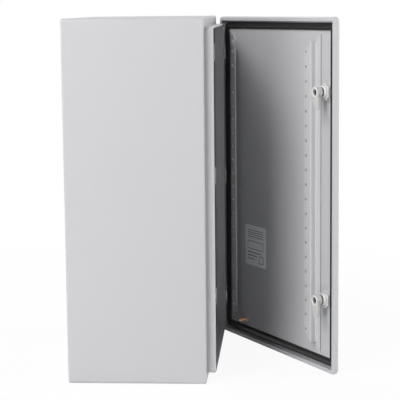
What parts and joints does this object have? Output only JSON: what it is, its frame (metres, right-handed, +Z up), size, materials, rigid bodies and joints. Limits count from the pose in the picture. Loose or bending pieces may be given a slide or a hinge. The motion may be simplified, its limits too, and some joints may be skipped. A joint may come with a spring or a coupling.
{
  "type": "electrical cabinet",
  "caption": "Wall-mounted sheet steel cabinet for switchgear with a gasketed hinged door, perforated door rails, quarter-turn cam locks and a mounting plate.",
  "frame": {"origin": "middle of the four wall fixing holes, on the rear face of the cabinet", "axes": "+Z up, +Y into the wall, so the door faces -Y; +X to the right facing the door, where its hinges are"},
  "size_m": [0.4003, 0.4478, 0.6],
  "materials": {
    "powder_coat": "light grey powder coat with a fine orange peel",
    "galvanised_sheet": "galvanised sheet",
    "zinc_plate": "matt zinc plate",
    "bare_steel": "turned steel",
    "copper_plate": "copper plate",
    "foam_gasket": "black foamed seal",
    "rubber_seal": "black rubber sheet",
    "label_film": "blank grey film with ruled lines"
  },
  "bodies": {
    "cabinet": {"body_shell": "powder_coat", "rear_panel": "powder_coat", "mounting_plate": "galvanised_sheet", "gland_plate": "galvanised_sheet", "mounting_studs": "zinc_plate", "mounting_spacers": "zinc_plate", "mounting_nuts": "zinc_plate", "gland_studs": "zinc_plate", "gland_nuts": "zinc_plate", "hinge_block_top": "zinc_plate", "hinge_block_middle": "zinc_plate", "hinge_block_bottom": "zinc_plate", "hinge_bracket_top": "zinc_plate", "hinge_bracket_middle": "zinc_plate", "hinge_bracket_bottom": "zinc_plate", "body_earth_jam_nut": "zinc_plate", "body_earth_washer": "zinc_plate", "body_earth_nut": "zinc_plate", "hinge_screws": "bare_steel", "body_earth_stud": "copper_plate", "gland_seal": "rubber_seal"},
    "door": {"door_shell": "powder_coat", "door_gasket": "foam_gasket", "door_rail_hinge_side": "powder_coat", "door_rail_lock_side": "powder_coat", "hinge_leaf_top": "zinc_plate", "hinge_leaf_middle": "zinc_plate", "hinge_leaf_bottom": "zinc_plate", "hinge_pin_top": "bare_steel", "hinge_pin_middle": "bare_steel", "hinge_pin_bottom": "bare_steel", "door_earth_stud": "copper_plate", "door_earth_collar": "zinc_plate", "rating_label": "label_film", "lock_housing_upper": "zinc_plate", "lock_housing_lower": "zinc_plate", "lock_seal_upper": "rubber_seal", "lock_seal_lower": "rubber_seal", "lock_nut_upper": "zinc_plate", "lock_nut_lower": "zinc_plate"},
    "upper_cam": {"lock_spindle_upper": "bare_steel", "lock_cam_upper": "zinc_plate", "cam_screw_upper": "bare_steel"},
    "lower_cam": {"lock_spindle_lower": "bare_steel", "lock_cam_lower": "zinc_plate", "cam_screw_lower": "bare_steel"}
  },
  "joints": [
    {"name": "door_hinge", "type": "hinge", "parent": "cabinet", "child": "door", "pos_m": [0.1925, -0.2405, 0], "axis": [0, 0, 1], "range_deg": [-31, 89]},
    {"name": "upper_cam_turn", "type": "hinge", "parent": "door", "child": "upper_cam", "pos_m": [-0.10725, -0.42994, 0.175], "axis": [-0.515, 0.8572, 0], "range_deg": [0, 90]},
    {"name": "lower_cam_turn", "type": "hinge", "parent": "door", "child": "lower_cam", "pos_m": [-0.10725, -0.42994, -0.175], "axis": [-0.515, 0.8572, 0], "range_deg": [0, 90]}
  ]
}
